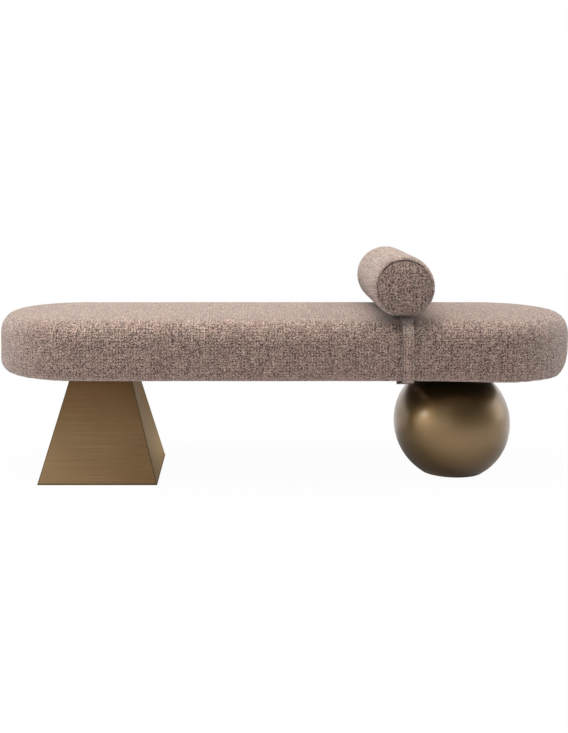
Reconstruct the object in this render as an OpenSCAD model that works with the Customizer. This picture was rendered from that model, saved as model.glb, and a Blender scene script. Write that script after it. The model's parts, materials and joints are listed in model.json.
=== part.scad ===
// Upholstered bench seat on a pyramid foot and a ball foot, with a bolster that a
// strap holds to the seat. X runs along the seat, Y from front to back, Z up; the
// floor is at Z = 0 and the origin lies under the middle of the seat. Millimetres.

/* [Seat] */
// Overall length of the seat
seat_l = 1500; // [1300:10:1800]
// Overall depth of the seat, front to back
seat_w = 450; // [430:5:500]
// Thickness of the seat at the middle of its crown
seat_t = 163; // [155:1:190]
// Rise of the crown, from the side to the middle
seat_crown = 15; // [5:1:20]
// Width of the rounding along the top edge
top_round_w = 37; // [30:1:60]
// Height of the rounding along the top edge
top_round_h = 56; // [40:1:60]
// Width of the rounding along the bottom edge
bottom_round_w = 28; // [24:1:30]
// Height of the rounding along the bottom edge
bottom_round_h = 35; // [25:1:40]

/* [Upholstery] */
// Thickness of the woven cover
cover_t = 2; // [1:0.5:2.5]
// Thickness of the fibre wadding under the cover
wadding_t = 8; // [5:1:10]
// Thickness of the foam band round the frame
side_foam_t = 24; // [20:1:30]
// Width of the cover's hem, turned in under the seat
hem_w = 50; // [42:1:60]
// Thickness of the black dust cloth under the seat
dust_t = 1; // [0.5:0.25:1.5]
// How far the dust cloth's edge laps over the hem
dust_lap = 15; // [12:1:16]

/* [Frame] */
// Thickness of the plywood base board that the feet bolt to
board_t = 18; // [15:1:21]
// Height of the rails and ribs
rail_h = 60; // [45:1:65]
// Thickness of the rails
rail_t = 25; // [20:1:30]
// Thickness of the cross ribs
rib_t = 20; // [15:1:25]
// Thickness of the plywood deck under the foam
deck_t = 12; // [9:1:15]
// Shank diameter of the frame screws
screw_d = 4; // [3:0.5:5]
// Length of the frame screws
screw_l = 35; // [25:1:40]

/* [Feet] */
// Height of both feet, from the floor to the seat
foot_h = 275; // [240:1:320]
// Gap under the metal, where only the glides touch the floor
foot_gap = 1.5; // [1.2:0.1:2.5]
// Wall of both metal shells
shell_t = 2.5; // [1.5:0.5:3.5]
// Thickness of the steel plates welded inside the shells
plate_t = 6; // [5:1:8]
// Thickness of the black plates that close the feet underneath
closer_t = 3; // [2.5:0.5:3]
// Height of the glides under the steel base plates
glide_h = 4; // [4:0.5:6]
// Distance from the seat's left end to the middle of the pyramid
pyramid_inset = 271; // [240:1:320]
// Side of the pyramid at its base
pyramid_base = 305; // [280:1:340]
// Side of the pyramid where it meets the seat
pyramid_top = 152; // [140:1:180]
// Bolt spacing on the pyramid's top plate
pyramid_pitch = 100; // [80:1:104]
// Opening in the pyramid's base plate
pyramid_hatch = 190; // [160:1:200]
// Glide diameter under the pyramid
pyramid_glide_d = 24; // [18:1:26]
// Distance from the seat's right end to the middle of the ball
ball_inset = 302; // [270:1:340]
// Diameter of the flat that the ball stands on
ball_foot_d = 162; // [160:1:180]
// Diameter of the flat where the ball meets the seat
ball_top_d = 104; // [102:1:130]
// Bolt spacing on the ball's top plate
ball_pitch = 46; // [40:1:48]
// Opening in the ball's base plate
ball_hatch_d = 82; // [70:1:84]
// Glide diameter under the ball
ball_glide_d = 14; // [10:1:15]

/* [Fasteners] */
// Thread diameter of the foot bolts
bolt_d = 8; // [6:1:8]
// Length of the foot bolts under the head
bolt_l = 24; // [22:1:26]
// Thickness of the washers
washer_t = 1.6; // [1:0.1:2]
// Flange diameter of the tee nuts
nut_flange_d = 24; // [20:1:26]
// Thickness of the tee nuts' flange
nut_flange_t = 1.6; // [1:0.1:2]
// Width of the staples
staple_w = 10; // [8:1:12]
// Largest distance between neighbouring staples
staple_gap = 90; // [60:5:120]

/* [Bolster] */
// Distance from the seat's right end to the bolster's axis
bolster_inset = 460; // [430:1:900]
// Diameter of the bolster where it is fullest
bolster_d = 157; // [140:1:170]
// Length of the bolster
bolster_l = 410; // [340:5:450]
// How far the bolster's front end stands in front of the seat
bolster_front = 12.5; // [0:0.5:20]
// How much the bolster's underside is pressed flat on the seat
bolster_press = 8; // [4:0.5:8]
// How far the end panels bulge
bolster_dome = 5; // [2:1:8]
// Length over which the bolster swells from each end
bolster_round = 50; // [30:5:70]
// Distance from the bolster's fullest radius to the seam of its end panel
seam_in = 11; // [11:0.5:15]

/* [Strap] */
// Width of the strap
strap_w = 30; // [24:1:40]
// Thickness of the strap
strap_t = 2.6; // [1.8:0.2:3]
// Distance from the bolster's axis to the middle of the strap
strap_off = 11; // [0:1:15]
// Clearance between the strap and the seat's top and sides
strap_gap = 0.3; // [0.2:0.1:1]
// Clearance between the strap and the staples under the seat
strap_slack = 0.5; // [0.3:0.1:2]
// Clearance between the strap and the bolster that is sewn on it
bolster_gap = 0.2; // [0.1:0.1:0.5]
// Thickness of each of the two hook-and-loop tapes
tape_t = 1.2; // [0.8:0.2:1.6]
// Length of the two tapes
tape_l = 66; // [50:1:80]
// Distance from the tapes' long edges to the strap's
tape_margin = 1; // [0.5:0.5:3]
// Length of the tab's stretch that is sewn to the strap
tab_sewn = 50; // [40:1:60]
// Length of the tab that reaches past the tapes
tab_lip = 4; // [2:1:8]
// Angle at which the tab lies askew
tab_skew = 3.5; // [0:0.5:4]

/* [Hidden] */
$fn = 96;
cut = 1;
arc_steps = 9;
crown_steps = 8;
rib_count = 6;

cloth_colour = [0.62, 0.53, 0.49];
bronze_colour = [0.46, 0.36, 0.25];
steel_colour = [0.55, 0.56, 0.58];
black_colour = [0.06, 0.06, 0.06];
foam_colour = [0.93, 0.88, 0.70];
wadding_colour = [0.95, 0.95, 0.93];
ply_colour = [0.80, 0.66, 0.46];
beech_colour = [0.77, 0.58, 0.38];

// heights in the seat, from the feet up
board_z = foot_h + dust_t;
seat_z = board_z - cover_t;
rail_z = board_z + board_t;
deck_z = rail_z + rail_h;
foam_z = deck_z + deck_t;
crown_z = seat_z + seat_t;

// the layers of the upholstery, counted inwards from the cover's outside
foam_in = cover_t + wadding_t;
frame_in = foam_in + side_foam_t;
// how much wider the foam's bottom rounding is, so that the wadding keeps an edge there
feather = 4;
straight = seat_l - seat_w;
frame_r = seat_w / 2 - frame_in;
rail_r = frame_r - rail_t;
hem_r = seat_w / 2 - bottom_round_w - hem_w;
dust_r = hem_r + dust_lap;

// places of the feet, the bolster and the ribs along the seat
pyramid_x = -seat_l / 2 + pyramid_inset;
ball_x = seat_l / 2 - ball_inset;
bolster_x = seat_l / 2 - bolster_inset;
rib_room = nut_flange_d / 2 + rib_t / 2 + 4;
pyramid_rib = pyramid_pitch / 2 + rib_room;
ball_rib = ball_pitch / 2 + rib_room;
mid_start = pyramid_x + pyramid_rib;
mid_end = ball_x - ball_rib;
mid_gaps = rib_count - 3;
rib_xs = concat(
    [pyramid_x - pyramid_rib],
    [for (i = [0:mid_gaps]) mid_start + (mid_end - mid_start) * i / mid_gaps],
    [ball_x + ball_rib]
);

// the ball between its two flats
ball_h = foot_h - foot_gap;
ball_low = (ball_h + (pow(ball_top_d, 2) - pow(ball_foot_d, 2)) / 4 / ball_h) / 2;
ball_r = sqrt(pow(ball_low, 2) + pow(ball_foot_d / 2, 2));
ball_z = foot_gap + ball_low;

// the pyramid's slope: how far its side leans in for each unit of height
pyramid_h = foot_h - foot_gap;
lean = (pyramid_base - pyramid_top) / 2 / pyramid_h;
wall_across = shell_t * sqrt(1 + lean * lean);

// fasteners
bolt_hole_d = bolt_d + 1;
bolt_head_w = 1.625 * bolt_d / cos(30);
bolt_head_h = 0.65 * bolt_d;
nut_barrel_d = bolt_d + 2;
nut_barrel_l = board_t - 4;
thread_gap = 0.05;
washer_d = 2 * bolt_d;
closer_screw_d = 4;
closer_screw_l = 8;
screw_head_d = 2 * screw_d;
staple_wire = 0.6;
staple_leg = 7;
closer_lap = 17;
glide_stem_d = 6;
edge_screw_r = frame_r - rail_t / 2;
hem_staple_r = (dust_r + edge_screw_r - screw_head_d / 2) / 2;

// the bolster's half length at its seam, its flat underside and its axis
bolster_r = bolster_d / 2;
seam_r = bolster_r - seam_in;
bolster_end = bolster_l / 2 - bolster_dome;
strap_x = bolster_x + strap_off;
bolster_low = crown_z + strap_gap + strap_t + bolster_gap;
bolster_y = (bolster_l - seat_w) / 2 - bolster_front;
bolster_z = bolster_low + bolster_r - bolster_press;

// the strap's run under the seat, and where its ends meet
strap_drop = dust_t + staple_wire + strap_slack;
strap_low = seat_z - strap_drop - strap_t;
tab_inset = 4;
tab_front = -seat_w / 2 + bottom_round_w + tab_inset;
tape_front = tab_front + tab_lip;
tab_step = 10;
strap_end = tape_front + tape_l + tab_step;
joint_gap = 4;
strap_start = strap_end + joint_gap;

// Outlines

function arc(cx, cz, rx, rz, from, to) = [
    for (i = [0:arc_steps]) let (a = from + (to - from) * i / arc_steps)
        [cx + rx * cos(a), cz + rz * sin(a)]
];

function reversed(list) = [for (i = [len(list) - 1:-1:0]) list[i]];

function crown_at(x) = seat_crown * (1 - pow(2 * x / seat_w, 2));

// Half of the seat's cross section from the bottom edge up to the crown, with
// s taken off its side, t off its top and b off its bottom.
function skin(s, t, b, wider = 0) =
    let (
        half = seat_w / 2 - s,
        low = seat_z + b,
        edge = crown_z - seat_crown - t,
        bw = bottom_round_w - s + wider,
        bh = bottom_round_h - b,
        tw = top_round_w - s,
        th = top_round_h - t
    )
    concat(
        arc(half - bw, low + bh, bw, bh, -90, 0),
        [for (p = arc(half - tw, edge - th, tw, th, 0, 90)) [p.x, p.y + crown_at(p.x)]],
        [for (i = [1:crown_steps]) let (x = (half - tw) * (1 - i / crown_steps))
            [x, edge + crown_at(x)]]
    );

foam_skin = skin(foam_in, foam_in, cover_t, feather);

// Shapes that several parts share

// Sweeps a half section round the seat: x is the distance from the middle line.
module round_the_seat() {
    for (side = [0, 1])
        mirror([0, side, 0])
            translate([-straight / 2, 0, 0])
                rotate([90, 0, 90])
                    linear_extrude(straight)
                        children();
    for (turn = [0, 180])
        rotate([0, 0, turn])
            translate([straight / 2, 0, 0])
                rotate([0, 0, -90])
                    rotate_extrude(angle = 180)
                        children();
}

// A flat board with the outline of the seat, and round ends of radius r.
module board(r, z, h) {
    translate([-straight / 2, -r, z])
        cube([straight, 2 * r, h]);
    for (x = [-1, 1] * straight / 2)
        translate([x, 0, z])
            cylinder(r = r, h = h);
}

module at_corners(pitch) {
    for (x = [-1, 1] * pitch / 2, y = [-1, 1] * pitch / 2)
        translate([x, y, 0])
            children();
}

module at_foot_bolts() {
    translate([pyramid_x, 0, 0])
        at_corners(pyramid_pitch)
            children();
    translate([ball_x, 0, 0])
        at_corners(ball_pitch)
            children();
}

// A countersunk screw that points up, with the face of its head at z = 0.
module screw(d, l, head_d) {
    cylinder(d = d, h = l);
    cylinder(d1 = head_d, d2 = d, h = (head_d - d) / 2);
}

// Places along the rails and ribs, the same for the deck and the base board.
module at_frame_screws() {
    for (x = [-0.375, -0.125, 0.125, 0.375] * straight, y = [-1, 1] * edge_screw_r)
        translate([x, y, 0])
            children();
    for (turn = [0, 180], a = [-55, 0, 55])
        rotate([0, 0, turn])
            translate([straight / 2 + edge_screw_r * cos(a), edge_screw_r * sin(a), 0])
                children();
    for (x = rib_xs, y = [-1, 1] * rail_r * 0.55)
        translate([x, y, 0])
            children();
}

module all_board_screws() {
    at_frame_screws()
        translate([0, 0, board_z])
            screw(screw_d, screw_l, screw_head_d);
}

module all_deck_screws() {
    at_frame_screws()
        translate([0, 0, foam_z])
            mirror([0, 0, 1])
                screw(screw_d, screw_l, screw_head_d);
}

// Staples in a row round the underside, at distance r from the middle line.
module staples(r, z) {
    runs = ceil(straight / staple_gap);
    turns = ceil(PI * r / staple_gap);
    for (side = [0, 180]) {
        rotate([0, 0, side]) {
            for (i = [0:runs - 1])
                translate([(i + 0.5) / runs * straight - straight / 2, -r, z])
                    staple();
            for (i = [0:turns - 1])
                translate([straight / 2, 0, 0])
                    rotate([0, 0, (i + 0.5) / turns * 180])
                        translate([0, -r, z])
                            staple();
        }
    }
}

module staple() {
    translate([-staple_w / 2, -staple_wire / 2, -staple_wire])
        cube([staple_w, staple_wire, staple_wire]);
    for (x = [-staple_w / 2, staple_w / 2 - staple_wire])
        translate([x, -staple_wire / 2, -staple_wire])
            cube([staple_wire, staple_wire, staple_leg]);
}

// The seat

module seat_cover() {
    color(cloth_colour)
        round_the_seat()
            polygon(concat(
                [[hem_r, seat_z]],
                skin(0, 0, 0),
                reversed(skin(cover_t, cover_t, cover_t)),
                [[hem_r, board_z]]
            ));
}

module seat_wadding() {
    color(wadding_colour)
        round_the_seat()
            polygon(concat(skin(cover_t, cover_t, cover_t), reversed(foam_skin)));
}

module foam_section() {
    polygon(concat([[0, board_z]], foam_skin));
}

module seat_top_foam() {
    color(foam_colour)
        round_the_seat()
            intersection() {
                foam_section();
                translate([0, foam_z])
                    square([seat_w, seat_t]);
            }
}

module seat_side_foam() {
    color(foam_colour)
        round_the_seat()
            intersection() {
                foam_section();
                translate([frame_r, board_z])
                    square([seat_w, foam_z - board_z]);
            }
}

module base_board() {
    color(ply_colour)
        difference() {
            board(frame_r, board_z, board_t);
            at_foot_bolts()
                translate([0, 0, board_z - cut])
                    cylinder(d = nut_barrel_d, h = board_t + 2 * cut);
            all_board_screws();
        }
}

module deck() {
    color(ply_colour)
        difference() {
            board(frame_r, deck_z, deck_t);
            all_deck_screws();
        }
}

module straight_rail(side) {
    color(beech_colour)
        difference() {
            translate([-straight / 2, side > 0 ? rail_r : -frame_r, rail_z])
                cube([straight, rail_t, rail_h]);
            all_board_screws();
            all_deck_screws();
        }
}

module end_rail(turn) {
    color(beech_colour)
        difference() {
            rotate([0, 0, turn])
                translate([straight / 2, 0, rail_z])
                    rotate([0, 0, -90])
                        rotate_extrude(angle = 180)
                            translate([rail_r, 0])
                                square([rail_t, rail_h]);
            all_board_screws();
            all_deck_screws();
        }
}

module cross_rib(i) {
    color(beech_colour)
        difference() {
            intersection() {
                translate([rib_xs[i - 1] - rib_t / 2, -seat_w / 2, rail_z])
                    cube([rib_t, seat_w, rail_h]);
                board(rail_r, rail_z, rail_h);
            }
            all_board_screws();
            all_deck_screws();
        }
}

module deck_screws() {
    color(steel_colour)
        all_deck_screws();
}

module board_screws() {
    color(steel_colour)
        all_board_screws();
}

// The flange lies on the board, and the barrel reaches down into it.
module tee_nuts() {
    color(steel_colour)
        at_foot_bolts()
            translate([0, 0, rail_z])
                difference() {
                    union() {
                        cylinder(d = nut_flange_d, h = nut_flange_t);
                        translate([0, 0, -nut_barrel_l])
                            cylinder(d = nut_barrel_d, h = nut_barrel_l);
                    }
                    translate([0, 0, -nut_barrel_l - cut])
                        cylinder(d = bolt_d + 2 * thread_gap, h = nut_barrel_l + nut_flange_t + 2 * cut);
                }
}

// Black cloth under the board, stepped down over the hem at its edge.
module dust_cloth() {
    color(black_colour)
        difference() {
            union() {
                board(hem_r, foot_h, dust_t);
                round_the_seat()
                    polygon([
                        [hem_r - dust_t, board_z],
                        [hem_r - dust_t, seat_z - dust_t],
                        [dust_r, seat_z - dust_t],
                        [dust_r, seat_z],
                        [hem_r, seat_z],
                        [hem_r, board_z]
                    ]);
            }
            at_foot_bolts()
                translate([0, 0, foot_h - cut])
                    cylinder(d = bolt_hole_d, h = dust_t + 2 * cut);
        }
}

module hem_staples() {
    color(steel_colour)
        staples(hem_staple_r, seat_z);
}

module dust_cloth_staples() {
    color(steel_colour)
        staples(dust_r - dust_lap / 2, seat_z - dust_t);
}

// The pyramid foot, drawn round its own middle

// A square pyramid cut off at both heights; side is its width at the floor gap.
module frustum(side, low, high) {
    half_low = side / 2 - (low - foot_gap) * lean;
    half_high = side / 2 - (high - foot_gap) * lean;
    outline = [[-half_low, low], [half_low, low], [half_high, high], [-half_high, high]];
    intersection() {
        translate([0, side, 0])
            rotate([90, 0, 0])
                linear_extrude(2 * side)
                    polygon(outline);
        translate([-side, 0, 0])
            rotate([90, 0, 90])
                linear_extrude(2 * side)
                    polygon(outline);
    }
}

module pyramid_inside(low, high) {
    frustum(pyramid_base - 2 * wall_across, low, high);
}

module pyramid_shell() {
    color(bronze_colour)
        translate([pyramid_x, 0, 0])
            difference() {
                frustum(pyramid_base, foot_gap, foot_h);
                pyramid_inside(foot_gap - cut, foot_h + cut);
            }
}

module pyramid_top_plate() {
    color(steel_colour)
        translate([pyramid_x, 0, 0])
            difference() {
                pyramid_inside(foot_h - plate_t, foot_h);
                at_corners(pyramid_pitch)
                    translate([0, 0, foot_h - plate_t - cut])
                        cylinder(d = bolt_hole_d, h = plate_t + 2 * cut);
            }
}

pyramid_closer = pyramid_hatch + 2 * closer_lap;
pyramid_glide_pitch = pyramid_closer + pyramid_glide_d + 4;

module pyramid_base_plate() {
    color(steel_colour)
        translate([pyramid_x, 0, 0])
            difference() {
                pyramid_inside(glide_h, glide_h + plate_t);
                translate([-pyramid_hatch / 2, -pyramid_hatch / 2, glide_h - cut])
                    cube([pyramid_hatch, pyramid_hatch, plate_t + 2 * cut]);
                at_corners(pyramid_glide_pitch)
                    translate([0, 0, glide_h - cut])
                        cylinder(d = glide_stem_d, h = plate_t + 2 * cut);
                at_corners(pyramid_hatch + closer_lap)
                    translate([0, 0, glide_h - cut])
                        cylinder(d = closer_screw_d, h = plate_t + 2 * cut);
            }
}

module closer_screw() {
    translate([0, 0, glide_h - closer_t])
        screw(closer_screw_d, closer_screw_l, 2 * closer_screw_d);
}

module pyramid_closer() {
    color(black_colour)
        translate([pyramid_x, 0, 0])
            difference() {
                translate([-pyramid_closer / 2, -pyramid_closer / 2, glide_h - closer_t])
                    cube([pyramid_closer, pyramid_closer, closer_t]);
                at_corners(pyramid_hatch + closer_lap)
                    closer_screw();
            }
}

module glide(d) {
    cylinder(d = d, h = glide_h);
    cylinder(d = glide_stem_d, h = glide_h + plate_t);
}

module pyramid_glides() {
    color(black_colour)
        translate([pyramid_x, 0, 0])
            at_corners(pyramid_glide_pitch)
                glide(pyramid_glide_d);
}

module pyramid_closer_screws() {
    color(steel_colour)
        translate([pyramid_x, 0, 0])
            at_corners(pyramid_hatch + closer_lap)
                closer_screw();
}

// A hexagon-head bolt that points up through its washer and the top plate.
module foot_bolt() {
    translate([0, 0, foot_h - plate_t - washer_t]) {
        cylinder(d = bolt_d, h = bolt_l);
        translate([0, 0, -bolt_head_h])
            cylinder(d = bolt_head_w, h = bolt_head_h, $fn = 6);
    }
}

module washer() {
    translate([0, 0, foot_h - plate_t - washer_t])
        difference() {
            cylinder(d = washer_d, h = washer_t);
            translate([0, 0, -cut])
                cylinder(d = bolt_hole_d, h = washer_t + 2 * cut);
        }
}

module pyramid_bolts() {
    color(steel_colour)
        translate([pyramid_x, 0, 0])
            at_corners(pyramid_pitch)
                foot_bolt();
}

module pyramid_washers() {
    color(steel_colour)
        translate([pyramid_x, 0, 0])
            at_corners(pyramid_pitch)
                washer();
}

// The ball foot, drawn round its own middle

module ball_slice(r, low, high) {
    intersection() {
        translate([0, 0, ball_z])
            sphere(r = r);
        translate([-ball_r, -ball_r, low])
            cube([2 * ball_r, 2 * ball_r, high - low]);
    }
}

module ball_shell() {
    color(bronze_colour)
        translate([ball_x, 0, 0])
            difference() {
                ball_slice(ball_r, foot_gap, foot_h);
                translate([0, 0, ball_z])
                    sphere(r = ball_r - shell_t);
            }
}

module ball_top_plate() {
    color(steel_colour)
        translate([ball_x, 0, 0])
            difference() {
                ball_slice(ball_r - shell_t, foot_h - plate_t, foot_h);
                at_corners(ball_pitch)
                    translate([0, 0, foot_h - plate_t - cut])
                        cylinder(d = bolt_hole_d, h = plate_t + 2 * cut);
            }
}

ball_closer_d = ball_hatch_d + 2 * closer_lap;
ball_glide_pitch = (ball_closer_d + ball_glide_d + 4) / sqrt(2);
ball_screw_pitch = (ball_hatch_d + closer_lap) / sqrt(2);

module ball_base_plate() {
    color(steel_colour)
        translate([ball_x, 0, 0])
            difference() {
                ball_slice(ball_r - shell_t, glide_h, glide_h + plate_t);
                translate([0, 0, glide_h - cut])
                    cylinder(d = ball_hatch_d, h = plate_t + 2 * cut);
                at_corners(ball_glide_pitch)
                    translate([0, 0, glide_h - cut])
                        cylinder(d = glide_stem_d, h = plate_t + 2 * cut);
                at_corners(ball_screw_pitch)
                    translate([0, 0, glide_h - cut])
                        cylinder(d = closer_screw_d, h = plate_t + 2 * cut);
            }
}

module ball_closer() {
    color(black_colour)
        translate([ball_x, 0, 0])
            difference() {
                translate([0, 0, glide_h - closer_t])
                    cylinder(d = ball_closer_d, h = closer_t);
                at_corners(ball_screw_pitch)
                    closer_screw();
            }
}

module ball_glides() {
    color(black_colour)
        translate([ball_x, 0, 0])
            at_corners(ball_glide_pitch)
                glide(ball_glide_d);
}

module ball_closer_screws() {
    color(steel_colour)
        translate([ball_x, 0, 0])
            at_corners(ball_screw_pitch)
                closer_screw();
}

module ball_bolts() {
    color(steel_colour)
        translate([ball_x, 0, 0])
            at_corners(ball_pitch)
                foot_bolt();
}

module ball_washers() {
    color(steel_colour)
        translate([ball_x, 0, 0])
            at_corners(ball_pitch)
                washer();
}

// The bolster: its sections hold the radius and the distance along its axis

// Turns a half section, drawn for the front end, round the bolster's axis.
module turned(rear = false) {
    translate([bolster_x, bolster_y, bolster_z])
        rotate([rear ? -90 : 90, 0, 0])
            rotate_extrude()
                children();
}

// Presses what is turned flat underneath, t above the bolster's own underside.
module pressed(t) {
    intersection() {
        children();
        translate([bolster_x - bolster_r, bolster_y - bolster_l / 2, bolster_low + t])
            cube([2 * bolster_r, bolster_l, 2 * bolster_r]);
    }
}

// The rounded edge, from the fullest part to the seam, with t taken off all over.
function bolster_edge(t) =
    arc(seam_r, bolster_end - bolster_round, seam_in - t, bolster_round - t, 0, 90);

// The domed end from the seam to the axis, with t taken off.
function bolster_face(t) = [
    for (i = [0:crown_steps]) let (r = seam_r * (1 - i / crown_steps))
        [r, bolster_end - t + bolster_dome * (1 - pow(r / seam_r, 2))]
];

function flipped(list) = [for (p = reversed(list)) [p.x, -p.y]];

// The sleeve's half section, t inside it, filled as far as the axis.
function sleeve_section(t) = concat(
    [[0, t - bolster_end]], flipped(bolster_edge(t)),
    bolster_edge(t), [[0, bolster_end - t]]
);

// The sleeve, open at both ends as far as the seams of the panels.
module bolster_sleeve() {
    color(cloth_colour)
        difference() {
            pressed(0)
                turned()
                    polygon(sleeve_section(0));
            pressed(cover_t)
                turned()
                    polygon(sleeve_section(cover_t));
            turned()
                translate([0, -bolster_l / 2])
                    square([seam_r, bolster_l]);
        }
}

module end_panel(rear) {
    color(cloth_colour)
        turned(rear)
            polygon(concat(bolster_face(0), reversed(bolster_face(cover_t))));
}

function bolster_filling(t) = concat(
    flipped(bolster_face(t)),
    flipped(bolster_edge(t)),
    bolster_edge(t),
    bolster_face(t)
);

module bolster_wadding() {
    color(wadding_colour)
        difference() {
            pressed(cover_t)
                turned()
                    polygon(bolster_filling(cover_t));
            bolster_foam();
        }
}

module bolster_foam() {
    r = bolster_r - bolster_press - foam_in;
    h = bolster_l - 2 * (foam_in + bolster_dome);
    translate([bolster_x, bolster_y - h / 2, bolster_z])
        rotate([-90, 0, 0])
            cylinder(r = r, h = h);
}

module bolster_core() {
    color(foam_colour)
        bolster_foam();
}

// The strap round the seat

module strap_band(points) {
    translate([strap_x - strap_w / 2, 0, 0])
        rotate([90, 0, 90])
            linear_extrude(strap_w)
                polygon(points);
}

// The ring goes round the seat, with a gap under the seat where its two ends meet.
module strap() {
    inner = skin(-strap_gap, -strap_gap, -strap_drop);
    outer = skin(-strap_gap - strap_t, -strap_gap - strap_t, -strap_drop - strap_t);
    mirrored_inner = [for (p = reversed(inner)) [-p.x, p.y]];
    mirrored_outer = [for (p = reversed(outer)) [-p.x, p.y]];
    color(cloth_colour)
        strap_band(concat(
            outer, mirrored_outer,
            [[strap_end, strap_low], [strap_end, strap_low + strap_t]],
            reversed(mirrored_inner), reversed(inner),
            [[strap_start, strap_low + strap_t], [strap_start, strap_low]]
        ));
}

module askew() {
    translate([strap_x, strap_start, 0])
        rotate([0, 0, -tab_skew])
            translate([-strap_x, -strap_start, 0])
                children();
}

// The tab is sewn under the strap's rear end and reaches forward under both tapes.
module strap_tab() {
    low = strap_low - 2 * tape_t;
    step_end = strap_start - tab_step;
    path = [[strap_start + tab_sewn, strap_low], [strap_start, strap_low], [step_end, low], [tab_front, low]];
    underside = [for (p = reversed(path)) [p.x, p.y - strap_t]];
    color(cloth_colour)
        askew()
            strap_band(concat(path, underside));
}

// A tape under the strap's front end, with its top at the given height.
module tape(z) {
    translate([strap_x - strap_w / 2 + tape_margin, tape_front, z - tape_t])
        cube([strap_w - 2 * tape_margin, tape_l, tape_t]);
}

module strap_loop_tape() {
    color(black_colour)
        tape(strap_low);
}

module strap_hook_tape() {
    color(black_colour)
        askew()
            tape(strap_low - tape_t);
}

seat_cover();
seat_wadding();
seat_top_foam();
seat_side_foam();
base_board();
deck();
straight_rail(-1);  // front_rail
straight_rail(1);  // rear_rail
end_rail(180);  // left_end_rail
end_rail(0);  // right_end_rail
for (i = [1:rib_count])
    cross_rib(i);
deck_screws();
board_screws();
tee_nuts();
dust_cloth();
hem_staples();
dust_cloth_staples();
pyramid_shell();
pyramid_top_plate();
pyramid_base_plate();
pyramid_closer();
pyramid_glides();
pyramid_bolts();
pyramid_washers();
pyramid_closer_screws();
ball_shell();
ball_top_plate();
ball_base_plate();
ball_closer();
ball_glides();
ball_bolts();
ball_washers();
ball_closer_screws();
bolster_sleeve();
end_panel(false);  // bolster_front_panel
end_panel(true);  // bolster_rear_panel
bolster_wadding();
bolster_core();
strap();
strap_tab();
strap_loop_tape();
strap_hook_tape();
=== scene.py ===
import json
import math
from contextlib import contextmanager

import bmesh
import bpy
import numpy as np
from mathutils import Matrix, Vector, noise


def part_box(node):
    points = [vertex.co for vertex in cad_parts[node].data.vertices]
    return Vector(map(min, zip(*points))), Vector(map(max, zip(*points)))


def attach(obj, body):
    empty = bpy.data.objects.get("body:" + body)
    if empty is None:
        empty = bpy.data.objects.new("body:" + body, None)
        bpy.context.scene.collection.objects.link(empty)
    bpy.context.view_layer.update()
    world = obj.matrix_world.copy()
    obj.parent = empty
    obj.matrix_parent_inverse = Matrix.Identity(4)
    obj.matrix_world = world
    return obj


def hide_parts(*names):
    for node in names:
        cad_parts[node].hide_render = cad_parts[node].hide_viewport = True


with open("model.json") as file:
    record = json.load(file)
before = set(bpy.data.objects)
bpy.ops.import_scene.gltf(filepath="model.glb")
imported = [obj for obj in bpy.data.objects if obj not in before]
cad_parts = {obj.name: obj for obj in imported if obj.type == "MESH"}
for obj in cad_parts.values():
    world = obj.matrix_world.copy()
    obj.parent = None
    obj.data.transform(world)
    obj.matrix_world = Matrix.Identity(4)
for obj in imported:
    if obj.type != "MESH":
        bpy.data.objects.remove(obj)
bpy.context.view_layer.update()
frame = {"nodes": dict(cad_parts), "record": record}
MM = 0.001
CORNERS = ((-1, -1), (1, -1), (1, 1), (-1, 1))

# The seat's section, as the solids have it; rounds are (width, height), and its mesh has cells of SEAT_CELL
SEAT_LOW, SEAT_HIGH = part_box("seat_cover")
SEAT_W = SEAT_HIGH.y - SEAT_LOW.y
END_R = SEAT_W / 2
MID_HALF = (SEAT_HIGH.x - SEAT_LOW.x) / 2 - END_R
CROWN = 15 * MM
TOP_ROUND = (37 * MM, 56 * MM)
BOTTOM_ROUND = (28 * MM, 35 * MM)
HEM_W = 50 * MM
HEM_R = END_R - BOTTOM_ROUND[0] - HEM_W
BOARD_LOW, BOARD_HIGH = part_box("base_board")
FRAME_R = BOARD_HIGH.y
BOARD_Z = BOARD_LOW.z
DECK_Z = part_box("deck")[1].z
COVER_SWELL = 1 * MM
SEAT_CELL = 9 * MM

# The cover's lower edge sags towards the right, and its tip is drawn in: from where, over what length
SAG = (0.34, 0.26)
SAG_DROP = 5 * MM
TIP = (0.69, 0.055)
TIP_PULL = 13 * MM

# The cloth under the seat
STAPLE_GAP = 87.5 * MM
DUST_LOW, DUST_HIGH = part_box("dust_cloth")
DUST_R = DUST_HIGH.y

# The bolster: its sleeve swells from the seams of its end panels and is pressed flat underneath
SLEEVE_LOW, SLEEVE_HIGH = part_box("bolster_sleeve")
PANEL_LOW, PANEL_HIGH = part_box("bolster_rear_panel")
BOLSTER_R = (SLEEVE_HIGH.x - SLEEVE_LOW.x) / 2
BOLSTER_X = (SLEEVE_HIGH.x + SLEEVE_LOW.x) / 2
BOLSTER_Y = (SLEEVE_HIGH.y + SLEEVE_LOW.y) / 2
BOLSTER_Z = SLEEVE_HIGH.z - BOLSTER_R
BOLSTER_LOW = SLEEVE_LOW.z
SEAM_Y = (SLEEVE_HIGH.y - SLEEVE_LOW.y) / 2
SEAM_R = (PANEL_HIGH.x - PANEL_LOW.x) / 2
SLEEVE_ROUND = 50 * MM
SLEEVE_FULLNESS = 2.8
SLEEVE_SWELL = 1.2 * MM
DOME = PANEL_HIGH.y - SLEEVE_HIGH.y

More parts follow.
